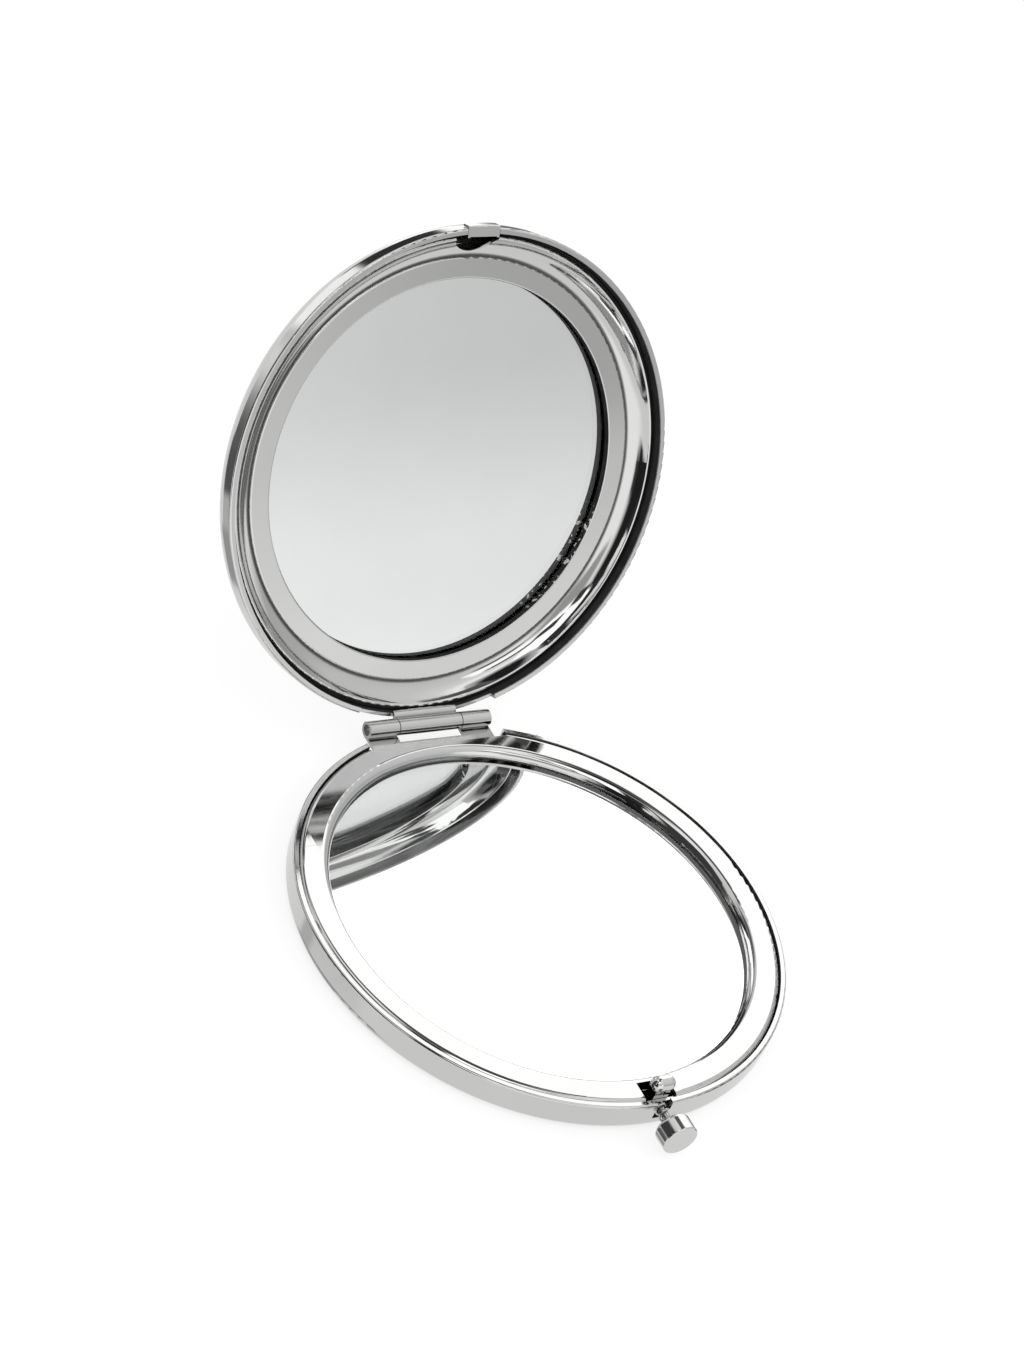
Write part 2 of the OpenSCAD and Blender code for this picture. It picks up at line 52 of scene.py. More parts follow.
# Camera: its place, the directions of its picture's right and down, and where it looks
CAMERA_PLACE = (-0.25982, -0.24921, 0.31221)
CAMERA_RIGHT = (0.832397, -0.446606, 0.328113)
CAMERA_DOWN = (-0.085047, -0.688003, -0.720707)
CAMERA_AHEAD = (0.547615, 0.572010, -0.610674)
SENSOR = 36.0
LENS = 98.68
CLIP_NEAR = 0.01
CLIP_FAR = 20.0

# Hinge axis and opening angle of the lid, and the height of its rim when closed
HINGE_Y = 0.0336
HINGE_Z = 0.00415
LID_Z = 0.00445
OPEN_ANGLE = math.radians(114)

# Fade at the edge of a dirty or dished place
SOFT_EDGE = 0.00005

# Places of painted shade on the lid, by distance from its axis and depth from its rim
WELL_R = 0.027
WELL_TOP_D = 0.00294
CHANNEL_R = 0.0315
CHANNEL_TOP_D = 0.0014
GROOVE_R = 0.0275
GROOVE_FULL_D = 0.00308
GROOVE_FADE = 0.00009
GROOVE_SHARE = 0.85
LID_WALL_R = 0.0325
LID_WALL_BOTTOM_D = 0.0023
LID_WALL_FADE = 0.00028

# Pale specks in the lid's well: where they start along X, where they end along Z, and how they fade
SPECKS_FROM_X = 0.0175
SPECKS_TO_Z = 0.026
SPECKS_FADE = 0.002

# Ledge round the lid's mirror, and the middle of the lid's crowned back
LEDGE_IN_R = 0.026
LEDGE_OUT_R = 0.0284
LEDGE_SLOPE = 0.04
CROWN_TOP_D = 0.0056
CROWN_ARC_R = 0.87937
CROWN_MIDDLE_R = 0.0078

# Places of painted shade on the base, by distance from its axis and height
GAP_R = 0.0306
GAP_TOP_Z = 0.004
BASE_WALL_R = 0.0325
BASE_WALL_TOP_Z = 0.00407

# Plate round the base's mirror: its fall inward, and its twist at the left
PLATE_IN_R = 0.0292
PLATE_OUT_R = 0.0317
PLATE_SLOPE = 0.02
PLATE_TWIST = 0.028
TWIST_START_X = -0.01
TWIST_FULL_X = -0.026

# Silver at the back of each glass, and how far it falls along X, Y and Z, per metre
BASE_SILVER_R = 0.0288
BASE_GLASS_BOTTOM = 0.00225
LID_SILVER_R = 0.0264
LID_GLASS_FRONT_D = 0.003765
LID_GLASS_T = 0.001
SILVER_T = 0.00002
SILVER_LIFT = 0.00002
DISC_SIDES = 160
BASE_TILT = (-0.019, -0.002, 0)
LID_TILT = (0, 0, 0)

# Spring round the stem
COIL_R = 0.000775
WIRE_R = 0.00015
COIL_START = -0.03235
COIL_END = -0.035
COIL_Z = 0.003
COIL_TURNS = 3
COIL_RINGS = 28
COIL_SIDES = 12
COIL_END_SHARE = 0.35

# Colours
NICKEL = (0.62, 0.62, 0.615)
LATCH_NICKEL = (0.65, 0.65, 0.645)
PIN_COLOR = (0.5, 0.5, 0.49)
SPRING_COLOR = (0.6, 0.6, 0.59)
PAD_COLOR = (0.1, 0.1, 0.1)
TAPE_COLOR = (0.2, 0.2, 0.2)
# Painted shade: near-black tones laid in the hollows, gaps and inner walls of lid and base, where shade
# falls
PAINTED_SHADE = (0.025, 0.025, 0.025, 1)
WALL_PAINTED_SHADE = (0.02, 0.02, 0.02, 1)
SPECK = (0.75, 0.75, 0.73, 1)
GLASS_TONES = ((0.985, 0.995, 0.99, 1), (0.995, 1.0, 0.998, 1))
SILVER_TONES = ((0.9, 0.91, 0.905, 1), (0.955, 0.96, 0.955, 1))
WHITE = (1, 1, 1, 1)

# Darkest and lightest share of a colour on each kind of surface
PLATE_SHADES = (0.94, 1.03)
STEEL_SHADES = (0.8, 1.08)
FOAM_SHADES = (0.7, 1.4)
FLOOR_SHADES = (0.99, 1.0)

# Noises: scale, detail and, where it isn't a half, roughness
HAZE = (420.0, 4.0)
CLOUD = (60.0, 2.0)
WORN = (130.0, 5.0, 0.7)
WAVES = (150.0, 1.5)
SPECKS = (1500.0, 1.0)
SCRATCHES = (1.0, 1.0)
SMEARS = (1.0, 4.0)
GLASS_TINT = (40.0, 3.0)
GLASS_WAVES = (30.0, 1.0)
SILVER_CLOUD = (90.0, 3.0)
SILVER_HAZE = (700.0, 3.0)
SILVER_WAVES = (25.0, 1.0)
STEEL_STREAKS = (1.0, 3.0)
STEEL_SPOTS = (900.0, 3.0)
FOAM_HAZE = (500.0, 3.0)
FLOOR_TINT = (30.0, 3.0)
CELL_SCALE = 2500.0

# The part of each noise's values that is used
HAZE_SPAN = (0.3, 0.75)
PAINTED_SHADE_SPAN = (0.2, 0.7)
WORN_SPAN = (0.56, 0.72)
SCRATCH_SPAN = (0.7, 0.78)
SPECK_SPAN = (0.58, 0.64)
SMEAR_SPAN = (0.55, 0.8)
FINE_SPAN = (0.3, 0.8)

# Stretch of the noise of scratches, smears and drawn steel, and the directions in which it runs
SCRATCH_STRETCH = (40, 2600, 2600)
SCRATCH_TURNS = ((0.3, 0.2, 0.5), (1.1, 0.4, 1.9), (0.2, 1.3, 2.7))
SMEAR_STRETCH = (60, 240, 60)
SMEAR_TURN = (0, 0, 0.6)
PIN_STRETCH = (200, 4000, 4000)
SPRING_STRETCH = (800, 800, 4000)

# Roughness of each surface, how far haze changes it, and what scratches and wear add
SHELL_ROUGH = 0.07
SHEET_ROUGH = 0.05
HINGE_ROUGH = 0.09
LATCH_ROUGH = 0.08
PIN_ROUGH = 0.2
SPRING_ROUGH = 0.14
PLATE_ROUGH_SHARES = (0.7, 1.4)
STEEL_ROUGH_SHARES = (0.7, 1.5)
GLASS_ROUGH = (0.0, 0.012)
SILVER_ROUGH = (0.0, 0.006)
FOAM_ROUGH = (0.8, 0.95)
FLOOR_ROUGH = 0.9
PAINTED_SHADE_ROUGH = 0.7
SCRATCH_ROUGH = 0.05
WORN_ROUGH = 0.04

# How far scratches lighten the plate, how much painted shade lies where it is thin, and how surfaces
# reflect
SCRATCH_TONE = 0.12
THIN_PAINTED_SHADE = 0.965
NO_SHINE = 0.0
GLASS_IOR = 1.52

# Height of each relief
SHELL_WAVE = 0.000003
SHEET_WAVE = 0.000002
GLASS_WAVE = 0.0000004
SCRATCH_DEPTH = 0.0000004
STREAK_DEPTH = 0.000002
CELL_DEPTH = 0.0001

# Sockets of a mix node for each kind of value: its first, its second and its result
MIX_SOCKETS = {"FLOAT": (2, 3, 0), "VECTOR": (4, 5, 1), "RGBA": (6, 7, 2)}

# Studio: pale floor, and the surroundings that only reflections see
FLOOR_SIZE = 6.0
FLOOR_COLOR = (0.25, 0.25, 0.25)
FLOOR_GLOW = 0.79
FLOOR_GAP = 0.00003
WORLD_STRENGTH = 1.05
DOME_R = 4.0
DOME_SUBDIVISIONS = 4

# Brightness of the surroundings by elevation in degrees
DOME_PROFILE = (
    (-90, 0.88),
    (-12, 0.92),
    (-1, 1.0),
    (3, 0.8),
    (7, 0.58),
    (16, 0.6),
    (28, 0.76),
    (50, 0.85),
    (62, 0.95),
    (72, 1.3),
    (76, 0.6),
    (82, 0.02),
    (90, 0.02),
)

# Cards: azimuth of the middle, half width, soft sides, lowest and highest elevation, soft ends, brightness
DOME_CARDS = (
    ("over window", 146, 28, 8, 55, 78, 4, 0.12),
    ("window", 138, 18, 5, 4, 49, 5, 1.65),
    ("light front right", -8, 20, 24, -10, 44, 8, 1.2),
    ("strip in front", 18, 8, 8, 21, 27, 5, 1.4),
    ("light over camera", -34, 27, 8, 48, 73, 3, 1.9),
    ("light over left", -118, 20, 8, 58, 64, 3, 1.3),
    ("dusk over camera", -10, 14, 12, 31, 44, 5, 0.45),
    ("dark streak overhead", 19, 6, 5, 43, 46, 3, 0.08),
    ("light overhead", 16, 14, 6, 51, 59, 3, 1.6),
    ("dark arc low", -36, 8, 4, 45, 50, 2, 0.06),
    ("dark arc middle", -16, 10, 4, 53, 58.5, 2, 0.06),
    ("dark arc high", 8, 14, 6, 58.5, 61, 1.5, 0.05),
    ("beside dark screen", -54, 4, 16, -2, 40, 6, 0.05),
    ("dark screen's shoulder", -50, 10, 6, 3, 12, 6, 0.05),
    ("dark screen", -60, 11, 5, -3, 44, 4, 0.02),
    ("over dark screen", -67, 6, 5, 40, 59, 4, 0.03),
    ("far over dark screen", -76, 14, 5, 61, 72, 4, 0.04),
    ("slit low", -73.5, 1.5, 3, 23, 34, 4, 1.1),
    ("slit high", -80, 2, 4, 38, 56, 4, 1.1),
    ("dark left", -106, 20, 8, -4, 56, 6, 0.06),
    ("dark corner", -77, 6, 4, -4, 19, 3, 0.04),
    ("light low behind", 155, 7, 4, -10, 0, 3, 1.45),
    ("light behind", -171, 9, 4, 4, 14, 5, 1.35),
    ("dark behind", 165, 11, 4, 3, 22, 2, 0.04),
    ("dark high behind", -172, 12, 6, 40, 48, 4, 0.15),
    ("dusk left", -126, 20, 8, -25, -20, 22, 0.15),
    ("dark floor left", -128, 24, 4, -37, -26, 3, 0.12),
    ("dark floor far left", -146, 3, 5, -46, -38, 3, 0.6),
    ("grey floor left", -130, 32, 6, -62, -47, 3, 0.42),
    ("dark floor right", 104, 40, 6, -20, -8, 4, 0.2),
)


def on_lid():
    """Puts what is drawn on the closed lid, Z from its rim, where the open lid stands."""
    to_hinge = Matrix.Translation((0, HINGE_Y, HINGE_Z))
    turn = Matrix.Rotation(-OPEN_ANGLE, 4, "X")
    return to_hinge @ turn @ Matrix.Translation((0, -HINGE_Y, LID_Z - HINGE_Z))


def shades(color, shares):
    """The darkest and the lightest shade of a colour."""
    return [[min(c * share, 1.0) for c in color] + [1] for share in shares]


class Nodes:
    """Makes the nodes of one material or world, and links them."""

    def __init__(self, tree):
        self.tree = tree

    def add(self, kind, **settings):
        node = self.tree.nodes.new(kind)
        for name, value in settings.items():
            setattr(node, name, value)
        return node

    def feed(self, socket, value):
        if isinstance(value, bpy.types.NodeSocket):
            self.tree.links.new(value, socket)
        else:
            socket.default_value = value

    def math(self, operation, first, second=0.0):
        node = self.add("ShaderNodeMath", operation=operation)
        self.feed(node.inputs[0], first)
        self.feed(node.inputs[1], second)
        return node.outputs[0]

    def times(self, first, *others):
        for other in others:
            first = self.math("MULTIPLY", first, other)
        return first

    def span(self, value, low, high, to_low, to_high, smooth=False):
        node = self.add("ShaderNodeMapRange", interpolation_type="SMOOTHSTEP" if smooth else "LINEAR")
        for name, item in (("Value", value), ("From Min", low), ("From Max", high),
                           ("To Min", to_low), ("To Max", to_high)):
            self.feed(node.inputs[name], item)
        return node.outputs["Result"]

    def over(self, value, limit, fade=SOFT_EDGE, smooth=False):
        """One where the value is over the limit, and none below it."""
        return self.span(value, limit - fade, limit, 0.0, 1.0, smooth)

    def under(self, value, limit, fade=SOFT_EDGE, smooth=False):
        """One where the value is under the limit, and none above it."""
        return self.span(value, limit, limit + fade, 1.0, 0.0, smooth)

    def mix(self, kind, share, first, second):
        node = self.add("ShaderNodeMix", data_type=kind)
        first_in, second_in, result = MIX_SOCKETS[kind]
        self.feed(node.inputs["Factor"], share)
        self.feed(node.inputs[first_in], first)
        self.feed(node.inputs[second_in], second)
        return node.outputs[result]

    def vector(self, operation, first, second=(0, 0, 0), result="Vector"):
        node = self.add("ShaderNodeVectorMath", operation=operation)
        self.feed(node.inputs[0], first)
        self.feed(node.inputs[1], second)
        return node.outputs[result]

    def combine(self, value):
        node = self.add("ShaderNodeCombineXYZ")
        for socket in node.inputs:
            self.feed(socket, value)
        return node.outputs[0]

    def axis(self, vector, name):
        """One of X, Y and Z of a vector."""
        node = self.add("ShaderNodeSeparateXYZ")
        self.feed(node.inputs[0], vector)
        return node.outputs[name]

    def place(self):
        return self.add("ShaderNodeTexCoord").outputs["Object"]

    def stretched(self, scale, turn=(0, 0, 0)):
        node = self.add("ShaderNodeMapping")
        self.feed(node.inputs["Vector"], self.place())
        node.inputs["Scale"].default_value = scale
        node.inputs["Rotation"].default_value = turn
        return node.outputs["Vector"]

    def noise(self, where, scale, detail, rough=0.5):
        node = self.add("ShaderNodeTexNoise")
        self.feed(node.inputs["Vector"], where)
        node.inputs["Scale"].default_value = scale
        node.inputs["Detail"].default_value = detail
        node.inputs["Roughness"].default_value = rough
        return node.outputs[0]

    def bump(self, height, distance=1.0, normal=None):
        node = self.add("ShaderNodeBump")
        node.inputs["Strength"].default_value = 1.0
        node.inputs["Distance"].default_value = distance
        self.feed(node.inputs["Height"], height)
        if normal is not None:
            self.feed(node.inputs["Normal"], normal)
        return node.outputs["Normal"]

    def lid_place(self):
        """Distance from the lid's axis, and depth from its rim, on any piece of the lid."""
        spot = on_lid()
        depth_way = spot.to_3x3() @ Vector((0, 0, 1))
        offset = self.vector("SUBTRACT", self.place(), spot.to_translation())
        depth = self.vector("DOT_PRODUCT", offset, depth_way, "Value")
        along = self.vector("MULTIPLY", self.combine(depth), depth_way)
        radius = self.vector("LENGTH", self.vector("SUBTRACT", offset, along), result="Value")
        return radius, depth

    def base_place(self):
        """Distance from the base's axis, and height."""
        where = self.place()
        squares = [self.math("POWER", self.axis(where, name), 2.0) for name in ("X", "Y")]
        return self.math("SQRT", self.math("ADD", *squares)), self.axis(where, "Z")


def material(name):
    """A new material, the maker of its nodes, and its shader."""
    made = bpy.data.materials.new(name)
    made.use_nodes = True
    nodes = Nodes(made.node_tree)
    shader = made.node_tree.nodes["Principled BSDF"]
    return made, nodes, shader


def scratches(nodes):
    """Thin lines of stretched noise in several directions."""
    total = 0.0
    for turn in SCRATCH_TURNS:
        line = nodes.noise(nodes.stretched(SCRATCH_STRETCH, turn), *SCRATCHES)
        total = nodes.math("ADD", total, nodes.span(line, *SCRATCH_SPAN, 0.0, 1.0))
    return nodes.math("MINIMUM", total, 1.0)


def lid_frame_painted_shade(nodes):
    """Painted shade in the well round the mirror, in the groove and in the channel by the wall, with pale
    specks.
    """
    radius, depth = nodes.lid_place()
    in_well = nodes.under(radius, WELL_R)
    well = nodes.times(in_well, nodes.over(depth, WELL_TOP_D))
    channel = nodes.times(nodes.over(radius, CHANNEL_R), nodes.over(depth, CHANNEL_TOP_D))
    groove = nodes.times(nodes.over(radius, GROOVE_R), nodes.over(depth, GROOVE_FULL_D, GROOVE_FADE),
                         GROOVE_SHARE)
    where = nodes.place()
    dots = nodes.span(nodes.noise(where, *SPECKS), *SPECK_SPAN, 0.0, 1.0)
    specks = nodes.times(nodes.over(nodes.axis(where, "X"), SPECKS_FROM_X, SPECKS_FADE), in_well,
                         nodes.under(nodes.axis(where, "Z"), SPECKS_TO_Z, SPECKS_FADE), dots)
    share = nodes.math("MAXIMUM", nodes.math("MAXIMUM", well, channel), groove)
    return share, nodes.mix("RGBA", specks, PAINTED_SHADE, SPECK)


def lid_wall_painted_shade(nodes):
    """Painted shade on the inside of the lid's wall, below its rim."""
    radius, depth = nodes.lid_place()
    below_rim = nodes.over(depth, LID_WALL_FADE, LID_WALL_FADE)
    above_bottom = nodes.under(depth, LID_WALL_BOTTOM_D, LID_WALL_FADE)
    return nodes.times(nodes.under(radius, LID_WALL_R), below_rim, above_bottom), WALL_PAINTED_SHADE


def base_frame_painted_shade(nodes):
    """Painted shade between the base plate's shoulder and the wall."""
    radius, height = nodes.base_place()
    return nodes.times(nodes.over(radius, GAP_R), nodes.under(height, GAP_TOP_Z)), PAINTED_SHADE


def base_wall_painted_shade(nodes):
    """Painted shade on the inside of the base's wall, below its rim."""
    radius, height = nodes.base_place()
    return nodes.times(nodes.under(radius, BASE_WALL_R), nodes.under(height, BASE_WALL_TOP_Z)), PAINTED_SHADE


def kept_between(nodes, value, low, high):
    """The value, never under low nor over high."""
    return nodes.math("MINIMUM", nodes.math("MAXIMUM", value, low), high)


def ledge_dish(nodes, normal):
    """The ledge round the lid's mirror falls off a little toward its groove."""
    radius = kept_between(nodes, nodes.lid_place()[0], LEDGE_IN_R, LEDGE_OUT_R)
    return nodes.bump(nodes.times(radius, -LEDGE_SLOPE), normal=normal)


def plate_dish(nodes, normal):
    """The plate round the base's mirror falls a little toward it, and is twisted at its left."""
    radius = kept_between(nodes, nodes.base_place()[0], PLATE_IN_R, PLATE_OUT_R)
    where = nodes.place()
    share = nodes.span(nodes.axis(where, "X"), TWIST_FULL_X, TWIST_START_X, PLATE_TWIST, 0.0)
    twist = nodes.times(nodes.axis(where, "Y"), share)
    return nodes.bump(nodes.math("ADD", nodes.times(radius, PLATE_SLOPE), twist), normal=normal)


def crown_way(nodes):
    """Which way the middle of the lid's crowned back faces."""
    centre = on_lid() @ Vector((0, 0, CROWN_TOP_D - CROWN_ARC_R))
    away = nodes.vector("NORMALIZE", nodes.vector("SUBTRACT", nodes.place(), centre))
    turned = nodes.add("ShaderNodeVectorTransform", vector_type="NORMAL",
                       convert_from="OBJECT", convert_to="WORLD")
    nodes.feed(turned.inputs[0], away)
    middle = nodes.under(nodes.lid_place()[0], CROWN_MIDDLE_R)
    own = nodes.add("ShaderNodeNewGeometry").outputs["Normal"]
    return nodes.mix("VECTOR", middle, own, turned.outputs[0])


def plated(name, color, rough, wave, painted_shade=None, dish=None, facing=None):
    """Polished nickel plate on pressed steel: slow waves, haze, hairline scratches, worn spots and painted
    shade in its hollows.
    """
    made, nodes, shader = material(name)
    where = nodes.place()
    haze = nodes.noise(where, *HAZE)
    lines = scratches(nodes)
    dark, light = shades(color, PLATE_SHADES)
    tone = nodes.mix("RGBA", nodes.noise(where, *CLOUD), dark, light)
    tone = nodes.mix("RGBA", nodes.times(lines, SCRATCH_TONE), tone, light)
    worn = nodes.span(nodes.noise(where, *WORN), *WORN_SPAN, 0.0, 1.0)
    least, most = [rough * share for share in PLATE_ROUGH_SHARES]
    roughness = nodes.span(haze, *HAZE_SPAN, least, most)
    roughness = nodes.math("ADD", roughness, nodes.times(lines, SCRATCH_ROUGH))
    roughness = nodes.math("ADD", roughness, nodes.times(worn, WORN_ROUGH))
    shader.inputs["Metallic"].default_value = 1.0
    # Painted shade: where the mask lies, the plate turns toward a near-black tone and loses its metal shine
    if painted_shade:
        share, shade_color = painted_shade(nodes)
        shade_amount = nodes.times(share, nodes.span(haze, *PAINTED_SHADE_SPAN, 1.0, THIN_PAINTED_SHADE))
        tone = nodes.mix("RGBA", shade_amount, tone, shade_color)
        roughness = nodes.mix("FLOAT", shade_amount, roughness, PAINTED_SHADE_ROUGH)
        nodes.feed(shader.inputs["Metallic"], nodes.math("SUBTRACT", 1.0, shade_amount))
        shader.inputs["Specular IOR Level"].default_value = NO_SHINE
    nodes.feed(shader.inputs["Base Color"], tone)
    nodes.feed(shader.inputs["Roughness"], roughness)
    normal = facing(nodes) if facing else None
    normal = nodes.bump(nodes.noise(where, *WAVES), wave, normal)
    if dish:
        normal = dish(nodes, normal)
    nodes.feed(shader.inputs["Normal"], nodes.bump(lines, -SCRATCH_DEPTH, normal))
    return made


def glass(name):
    """Clear float glass with the faintest smears."""
    made, nodes, shader = material(name)
    where = nodes.place()
    smear = nodes.noise(nodes.stretched(SMEAR_STRETCH, SMEAR_TURN), *SMEARS)
    nodes.feed(shader.inputs["Roughness"], nodes.span(smear, *SMEAR_SPAN, *GLASS_ROUGH))
    tint = nodes.mix("RGBA", nodes.noise(where, *GLASS_TINT), *GLASS_TONES)
    nodes.feed(shader.inputs["Base Color"], tint)
    nodes.feed(shader.inputs["Normal"], nodes.bump(nodes.noise(where, *GLASS_WAVES), GLASS_WAVE))
    shader.inputs["IOR"].default_value = GLASS_IOR
    shader.inputs["Transmission Weight"].default_value = 1.0
    return made


def silver(name, tilt):
    """Silvering seen through the glass, which lies a little out of level."""
    made, nodes, shader = material(name)
    where = nodes.place()
    tone = nodes.mix("RGBA", nodes.noise(where, *SILVER_CLOUD), *SILVER_TONES)
    nodes.feed(shader.inputs["Base Color"], tone)
    haze = nodes.noise(where, *SILVER_HAZE)
    nodes.feed(shader.inputs["Roughness"], nodes.span(haze, *FINE_SPAN, *SILVER_ROUGH))
    level = nodes.bump(nodes.vector("DOT_PRODUCT", where, tilt, "Value"))
    nodes.feed(shader.inputs["Normal"], nodes.bump(nodes.noise(where, *SILVER_WAVES), GLASS_WAVE, level))
    shader.inputs["Metallic"].default_value = 1.0
    return made


def drawn_steel(name, color, rough, stretch):
    """Drawn or rolled steel with fine lines along one axis."""
    made, nodes, shader = material(name)
    streak = nodes.noise(nodes.stretched(stretch), *STEEL_STREAKS)
    spot = nodes.noise(nodes.place(), *STEEL_SPOTS)
    least, most = [rough * share for share in STEEL_ROUGH_SHARES]
    nodes.feed(shader.inputs["Base Color"], nodes.mix("RGBA", streak, *shades(color, STEEL_SHADES)))
    nodes.feed(shader.inputs["Roughness"], nodes.span(spot, *FINE_SPAN, least, most))
    nodes.feed(shader.inputs["Normal"], nodes.bump(streak, STREAK_DEPTH))
    shader.inputs["Metallic"].default_value = 1.0
    return made


def foam(name, color):
    """Matt cellular foam."""
    made, nodes, shader = material(name)
    where = nodes.place()
    voronoi = nodes.add("ShaderNodeTexVoronoi")
    nodes.feed(voronoi.inputs["Vector"], where)
    voronoi.inputs["Scale"].default_value = CELL_SCALE
    cell = voronoi.outputs["Distance"]
    haze = nodes.noise(where, *FOAM_HAZE)
    nodes.feed(shader.inputs["Base Color"], nodes.mix("RGBA", cell, *shades(color, FOAM_SHADES)))
    nodes.feed(shader.inputs["Normal"], nodes.bump(cell, CELL_DEPTH))
    nodes.feed(shader.inputs["Roughness"], nodes.span(haze, *FINE_SPAN, *FOAM_ROUGH))
    return made


# Materials of the pieces that carry painted shade or a shape of their own, and of all others by their slot
PIECE_MATERIALS = {
    "lid_frame": plated("nickel_sheet_dished", NICKEL, SHEET_ROUGH, SHEET_WAVE, lid_frame_painted_shade,
                        ledge_dish),
    "lid_shell": plated("nickel_shell_lid", NICKEL, SHELL_ROUGH, SHELL_WAVE, lid_wall_painted_shade,
                        facing=crown_way),
    "base_frame": plated("nickel_sheet_base", NICKEL, SHEET_ROUGH, SHEET_WAVE, base_frame_painted_shade, plate_dish),
    "base_shell": plated("nickel_shell_base", NICKEL, SHELL_ROUGH, SHELL_WAVE, base_wall_painted_shade),
}
SLOT_MATERIALS = {
    "hinge_plate": plated("nickel_hinge", NICKEL, HINGE_ROUGH, SHELL_WAVE),
    "latch_plate": plated("nickel_latch", LATCH_NICKEL, LATCH_ROUGH, SHEET_WAVE),
    "mirror_glass": glass("clear_glass"),
    "pin_steel": drawn_steel("drawn_pin", PIN_COLOR, PIN_ROUGH, PIN_STRETCH),
    "spring_steel": drawn_steel("spring_wire", SPRING_COLOR, SPRING_ROUGH, SPRING_STRETCH),
    "foam": foam("cellular_pad", PAD_COLOR),
    "tape": foam("adhesive_disc", TAPE_COLOR),
}


def dress_nodes():
    """Gives every solid of the CAD model its material."""
    slots = {part["node"]: part["material_slot"] for part in frame["record"]["subparts"]}
    for name, node in frame["nodes"].items():
        for holder in node.material_slots:
            holder.material = PIECE_MATERIALS.get(name) or SLOT_MATERIALS[slots[name]]


def link(name, data):
    """Puts new data into the scene under a name."""
    node = bpy.data.objects.new(name, data)
    bpy.context.collection.objects.link(node)
    return node


def mesh_from(name, form):
    """Turns a form under construction into a mesh."""
    mesh = bpy.data.meshes.new(name)
    form.to_mesh(mesh)
    form.free()
    return mesh


def piece(name, mesh, body, made):
    """A piece of the part that moves with a body."""
    node = link(name, mesh)
    mesh.materials.append(made)
    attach(node, body)
    return node


def disc_mesh(name, radius, thick, spot):
    """A flat round disc round Z, moved into place by the matrix given."""
    form = bmesh.new()
    bmesh.ops.create_cone(form, cap_ends=True, segments=DISC_SIDES, radius1=radius, radius2=radius,
                          depth=thick)
    bmesh.ops.transform(form, matrix=spot, verts=form.verts)
    return mesh_from(name, form)


def add_silver():
    """A thin bright disc at the back of each glass, inside it."""
    base_spot = Matrix.Translation((0, 0, BASE_GLASS_BOTTOM + SILVER_LIFT + SILVER_T / 2))
    base = disc_mesh("base_silver", BASE_SILVER_R, SILVER_T, base_spot)
    piece("base_silver", base, "base", silver("silvering_base", BASE_TILT))
    depth = LID_GLASS_FRONT_D + LID_GLASS_T - SILVER_LIFT - SILVER_T / 2
    lid = disc_mesh("lid_silver", LID_SILVER_R, SILVER_T, on_lid() @ Matrix.Translation((0, 0, depth)))
    piece("lid_silver", lid, "lid", silver("silvering_lid", LID_TILT))


def coil_along(share):
    """Place along Y of a share of the wire, with the turns closer at both ends."""
    eased = share - COIL_END_SHARE * math.sin(math.tau * share) / math.tau
    return COIL_START + (COIL_END - COIL_START) * eased


def coil_mesh():
    """A wound wire with flat ends."""
    form = bmesh.new()
    rings = []
    last = COIL_RINGS * COIL_TURNS
    for i in range(last + 1):
        turn = math.tau * i / COIL_RINGS
        out = Vector((math.cos(turn), 0, math.sin(turn)))
        middle = out * COIL_R + Vector((0, coil_along(i / last), COIL_Z))
        ring = []
        for side in range(COIL_SIDES):
            roll = math.tau * side / COIL_SIDES
            offset = out * math.cos(roll) + Vector((0, 1, 0)) * math.sin(roll)
            ring.append(form.verts.new(middle + offset * WIRE_R))
        rings.append(ring)
    for near, far in zip(rings, rings[1:]):
        for side in range(COIL_SIDES):
            following = (side + 1) % COIL_SIDES
            form.faces.new((near[side], near[following], far[following], far[side]))
    ends = (form.faces.new(rings[0]), form.faces.new(reversed(rings[-1])))
    bmesh.ops.recalc_face_normals(form, faces=form.faces)
    for face in form.faces:
        face.smooth = face not in ends
    return mesh_from("coil", form)


def add_coil():
    """The wound spring in the place of its plain solid."""
    coil = piece("coil", coil_mesh(), "base", SLOT_MATERIALS["spring_steel"])
    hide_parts("latch_spring")
    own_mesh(coil)


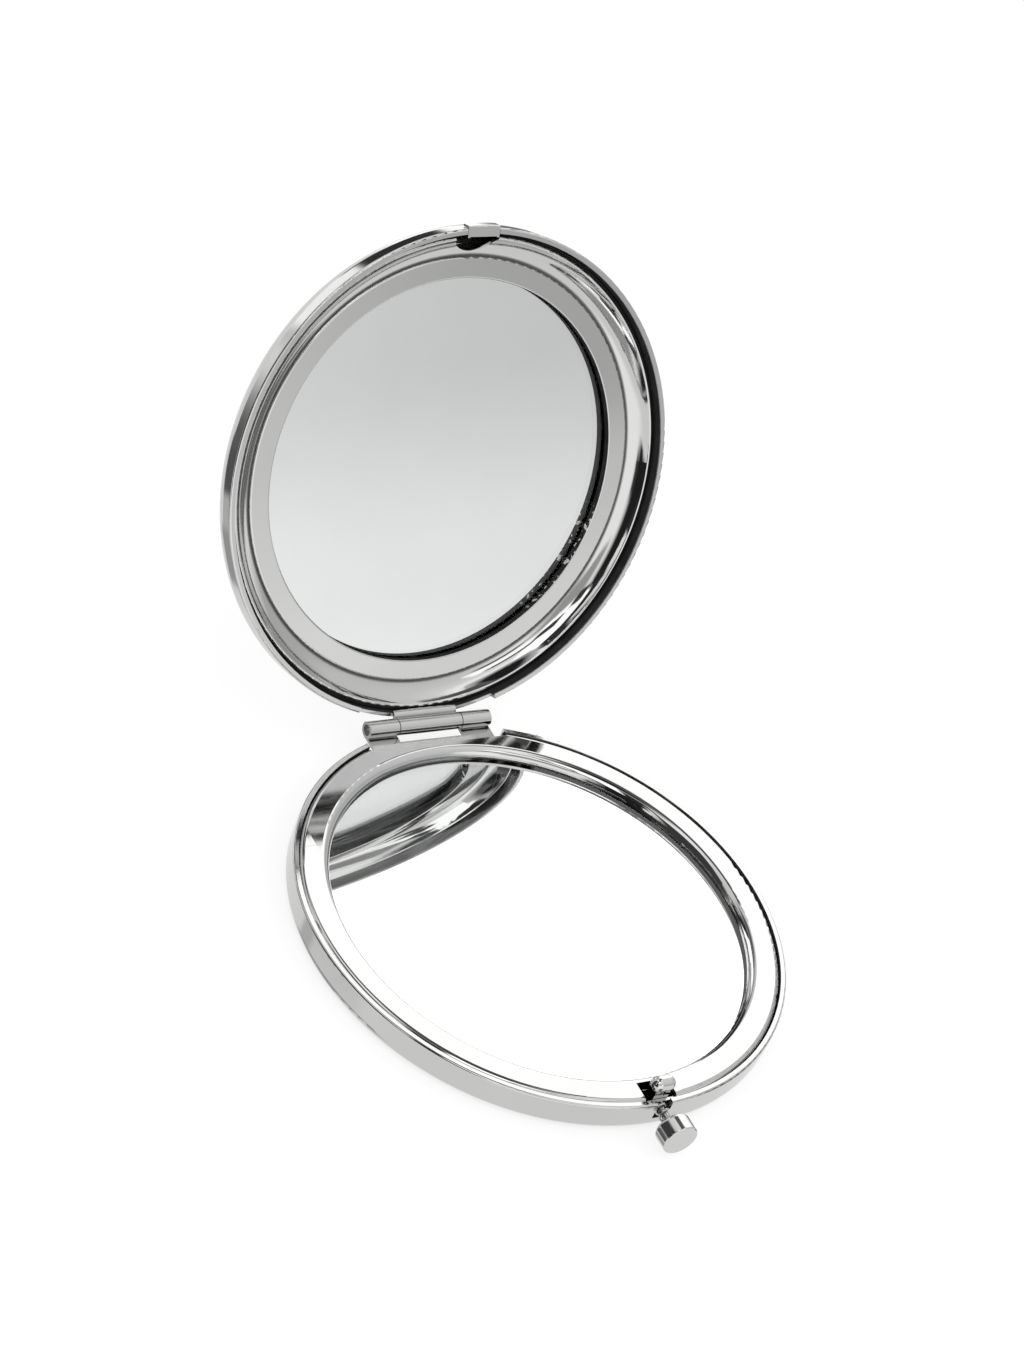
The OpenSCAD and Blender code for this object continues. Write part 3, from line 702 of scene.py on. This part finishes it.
def surroundings():
    """Emission of the dome by direction: a profile over elevation, and cards laid over it."""
    made = bpy.data.materials.new("surroundings")
    made.use_nodes = True
    made.cycles.emission_sampling = "NONE"
    made.node_tree.nodes.clear()
    nodes = Nodes(made.node_tree)
    toward = nodes.vector("NORMALIZE", nodes.add("ShaderNodeNewGeometry").outputs["Position"])
    elevation = nodes.math("DEGREES", nodes.math("ARCSINE", nodes.axis(toward, "Z")))
    light = DOME_PROFILE[0][1]
    for (low, dim), (high, bright) in zip(DOME_PROFILE, DOME_PROFILE[1:]):
        step = nodes.span(elevation, low, high, 0.0, bright - dim, smooth=True)
        light = nodes.math("ADD", light, step)
    for name, azimuth, half, soft_side, low, high, soft_end, bright in DOME_CARDS:
        turned = nodes.add("ShaderNodeVectorRotate", rotation_type="Z_AXIS", label=name)
        nodes.feed(turned.inputs["Vector"], toward)
        turned.inputs["Angle"].default_value = -math.radians(azimuth)
        sideways = nodes.axis(turned.outputs[0], "X")
        ahead = nodes.times(nodes.axis(turned.outputs[0], "Y"), -1.0)
        across = nodes.math("DEGREES", nodes.math("ARCTAN2", sideways, ahead))
        beside = nodes.under(nodes.math("ABSOLUTE", across), half, soft_side, smooth=True)
        above = nodes.over(elevation, low, soft_end, smooth=True)
        below = nodes.under(elevation, high, soft_end, smooth=True)
        light = nodes.mix("FLOAT", nodes.times(beside, above, below), light, bright)
    glow = nodes.add("ShaderNodeEmission")
    nodes.feed(glow.inputs["Strength"], light)
    out = nodes.add("ShaderNodeOutputMaterial")
    nodes.feed(out.inputs["Surface"], glow.outputs[0])
    return made


def add_dome():
    """Surroundings that only reflections see."""
    form = bmesh.new()
    bmesh.ops.create_icosphere(form, subdivisions=DOME_SUBDIVISIONS, radius=DOME_R)
    mesh = mesh_from("dome", form)
    mesh.materials.append(surroundings())
    dome = link("dome", mesh)
    dome.visible_camera = False
    dome.visible_diffuse = False
    dome.visible_shadow = False
    dome.visible_volume_scatter = False


def add_floor():
    """Plain pale floor, a hair below the resting face, that reflections don't see."""
    made, nodes, shader = material("floor")
    tint = nodes.noise(nodes.place(), *FLOOR_TINT)
    nodes.feed(shader.inputs["Base Color"], nodes.mix("RGBA", tint, *shades(FLOOR_COLOR, FLOOR_SHADES)))
    shader.inputs["Roughness"].default_value = FLOOR_ROUGH
    shader.inputs["Specular IOR Level"].default_value = NO_SHINE
    shader.inputs["Emission Color"].default_value = WHITE
    shader.inputs["Emission Strength"].default_value = FLOOR_GLOW
    half = FLOOR_SIZE / 2
    corners = [(x, y, -FLOOR_GAP) for x, y in ((-half, -half), (half, -half), (half, half), (-half, half))]
    mesh = bpy.data.meshes.new("floor")
    mesh.from_pydata(corners, [], [tuple(range(len(corners)))])
    mesh.materials.append(made)
    floor = link("floor", mesh)
    floor.visible_glossy = False
    floor.visible_transmission = False


def add_world():
    """Soft light from all sides, that reflections don't see."""
    world = bpy.data.worlds.new("studio")
    world.use_nodes = True
    background = world.node_tree.nodes["Background"]
    background.inputs["Strength"].default_value = WORLD_STRENGTH
    background.inputs["Color"].default_value = WHITE
    world.cycles_visibility.glossy = False
    world.cycles_visibility.transmission = False
    bpy.context.scene.world = world


def add_camera():
    """The view of the photograph."""
    data = bpy.data.cameras.new("camera")
    data.sensor_width = SENSOR
    data.lens = LENS
    data.clip_start = CLIP_NEAR
    data.clip_end = CLIP_FAR
    camera = link("camera", data)
    axes = Matrix((CAMERA_RIGHT, -Vector(CAMERA_DOWN), -Vector(CAMERA_AHEAD))).transposed()
    camera.matrix_world = Matrix.Translation(CAMERA_PLACE) @ axes.to_4x4()
    bpy.context.scene.camera = camera


dress_nodes()
add_silver()
add_coil()
add_floor()
add_dome()
add_world()
add_camera()
bpy.context.scene.view_settings.view_transform = "Standard"

bpy.context.view_layer.update()
